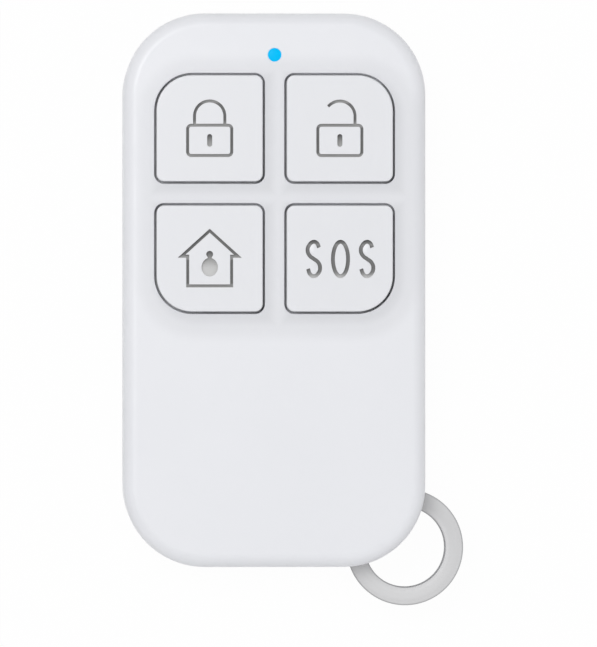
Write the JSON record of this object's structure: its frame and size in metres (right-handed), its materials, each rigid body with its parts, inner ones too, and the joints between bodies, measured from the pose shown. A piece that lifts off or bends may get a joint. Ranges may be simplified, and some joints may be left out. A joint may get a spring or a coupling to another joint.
{
  "type": "alarm key fob",
  "caption": "Flat rounded white alarm remote with square push keys in a block, a status light, a coin-cell door behind and a split ring through one corner.",
  "frame": {"origin": "middle of the case's flat rear face, which it lies on", "axes": "+Z out of the front face with the keys, +Y towards the status light end, +X to the right as the keys are read"},
  "size_m": [0.0373, 0.0647, 0.0116],
  "materials": {
    "case_white": "glossy white moulded plastic",
    "key_white": "glossy white moulded plastic with grey-filled sunk signs",
    "door_white": "glossy white moulded plastic",
    "light_pipe": "clear moulded plastic lit light blue",
    "ring_steel": "polished nickel-plated steel",
    "board": "green solder mask over glass-fibre laminate",
    "copper_track": "tinned copper track",
    "chip_black": "black moulded epoxy",
    "lead_tin": "tinned leads",
    "crystal_steel": "plated steel can",
    "resistor": "black film on ceramic",
    "capacitor": "tan ceramic",
    "led_white": "white surface light body",
    "cell_steel": "nickel-plated steel",
    "cell_seal": "black sealing ring",
    "contact_steel": "nickel-plated spring steel",
    "switch_black": "black moulded switch base",
    "switch_steel": "stamped steel",
    "plunger_black": "black moulded plunger",
    "screw_steel": "zinc-plated steel"
  },
  "bodies": {
    "housing": {"front_shell": "case_white", "rear_shell": "case_white", "circuit_board": "board", "light_pipe": "light_pipe", "status_led": "led_white", "case_screws": "screw_steel", "cell_can": "cell_steel", "cell_seal": "cell_seal", "cell_cap": "cell_steel", "plus_contact": "contact_steel", "minus_contact": "contact_steel", "switch_terminals": "lead_tin", "encoder_chip": "chip_black", "encoder_leads": "lead_tin", "radio_chip": "chip_black", "radio_leads": "lead_tin", "crystal": "crystal_steel", "chip_resistors": "resistor", "chip_capacitors": "capacitor", "antenna_track": "copper_track", "arm_switch_base": "switch_black", "arm_switch_cover": "switch_steel", "arm_switch_dome": "switch_steel", "disarm_switch_base": "switch_black", "disarm_switch_cover": "switch_steel", "disarm_switch_dome": "switch_steel", "home_switch_base": "switch_black", "home_switch_cover": "switch_steel", "home_switch_dome": "switch_steel", "panic_switch_base": "switch_black", "panic_switch_cover": "switch_steel", "panic_switch_dome": "switch_steel"},
    "arm_key": {"arm_key": "key_white"},
    "arm_plunger": {"arm_switch_plunger": "plunger_black"},
    "disarm_key": {"disarm_key": "key_white"},
    "disarm_plunger": {"disarm_switch_plunger": "plunger_black"},
    "home_key": {"home_key": "key_white"},
    "home_plunger": {"home_switch_plunger": "plunger_black"},
    "panic_key": {"panic_key": "key_white"},
    "panic_plunger": {"panic_switch_plunger": "plunger_black"},
    "battery_door": {"battery_door": "door_white"},
    "key_ring": {"key_ring": "ring_steel"}
  },
  "joints": [
    {"name": "arm_press", "type": "slide", "parent": "housing", "child": "arm_key", "axis": [0, 0, 1], "range_m": [-0.00035, 0], "stiffness_N_per_m": 3000},
    {"name": "arm_plunger_travel", "type": "slide", "parent": "housing", "child": "arm_plunger", "axis": [0, 0, 1], "range_m": [-0.00035, 0], "deforming": ["arm_switch_dome"]},
    {"name": "disarm_press", "type": "slide", "parent": "housing", "child": "disarm_key", "axis": [0, 0, 1], "range_m": [-0.00035, 0], "stiffness_N_per_m": 3000},
    {"name": "disarm_plunger_travel", "type": "slide", "parent": "housing", "child": "disarm_plunger", "axis": [0, 0, 1], "range_m": [-0.00035, 0], "deforming": ["disarm_switch_dome"]},
    {"name": "home_press", "type": "slide", "parent": "housing", "child": "home_key", "axis": [0, 0, 1], "range_m": [-0.00035, 0], "stiffness_N_per_m": 3000},
    {"name": "home_plunger_travel", "type": "slide", "parent": "housing", "child": "home_plunger", "axis": [0, 0, 1], "range_m": [-0.00035, 0], "deforming": ["home_switch_dome"]},
    {"name": "panic_press", "type": "slide", "parent": "housing", "child": "panic_key", "axis": [0, 0, 1], "range_m": [-0.00035, 0], "stiffness_N_per_m": 3000},
    {"name": "panic_plunger_travel", "type": "slide", "parent": "housing", "child": "panic_plunger", "axis": [0, 0, 1], "range_m": [-0.00035, 0], "deforming": ["panic_switch_dome"]},
    {"name": "door_turn", "type": "hinge", "parent": "housing", "child": "battery_door", "pos_m": [0, -0.012, 0], "axis": [0, 0, -1], "range_deg": [0, 30]},
    {"name": "ring_swing", "type": "hinge", "parent": "housing", "child": "key_ring", "pos_m": [0.01266, -0.02636, 0.005], "axis": [0, 0, 1], "range_deg": [-26, 26]}
  ],
  "couplings": [
    {"joint": "arm_plunger_travel", "follows": "arm_press", "ratio": 1},
    {"joint": "disarm_plunger_travel", "follows": "disarm_press", "ratio": 1},
    {"joint": "home_plunger_travel", "follows": "home_press", "ratio": 1},
    {"joint": "panic_plunger_travel", "follows": "panic_press", "ratio": 1}
  ]
}
